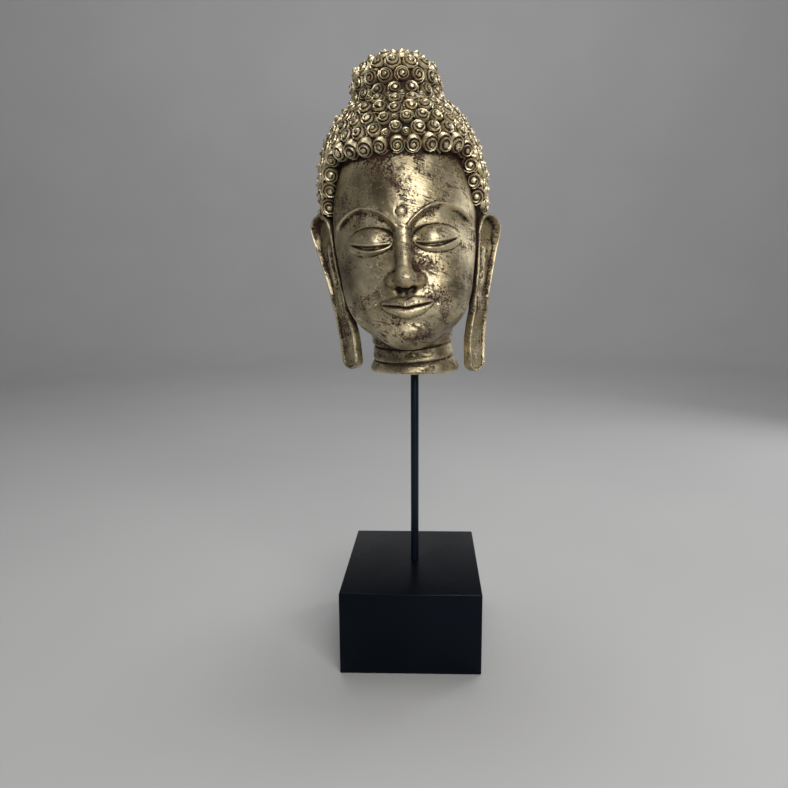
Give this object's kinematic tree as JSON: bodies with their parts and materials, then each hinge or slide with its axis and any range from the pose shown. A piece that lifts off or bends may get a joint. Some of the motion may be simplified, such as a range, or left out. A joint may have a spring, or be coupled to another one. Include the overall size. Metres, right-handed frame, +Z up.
{
  "type": "sculpted head on a rod stand",
  "caption": "Gilded meditating head with snail-shell curls, top knot and long ear lobes, held on a thin black rod in a black wooden block.",
  "frame": {"origin": "middle of the block's underside, which stands on the table", "axes": "+Z up along the rod, the face looks along -Y, +X is to the right of someone facing the head"},
  "size_m": [0.1383, 0.1526, 0.4345],
  "materials": {
    "gilt_cast": "antique gold leaf over a dark red-brown ground, worn in streaks and specks",
    "black_steel": "satin black",
    "black_wood": "satin black paint"
  },
  "bodies": {
    "root": {"head": "gilt_cast", "rod": "black_steel", "block": "black_wood"}
  },
  "joints": []
}
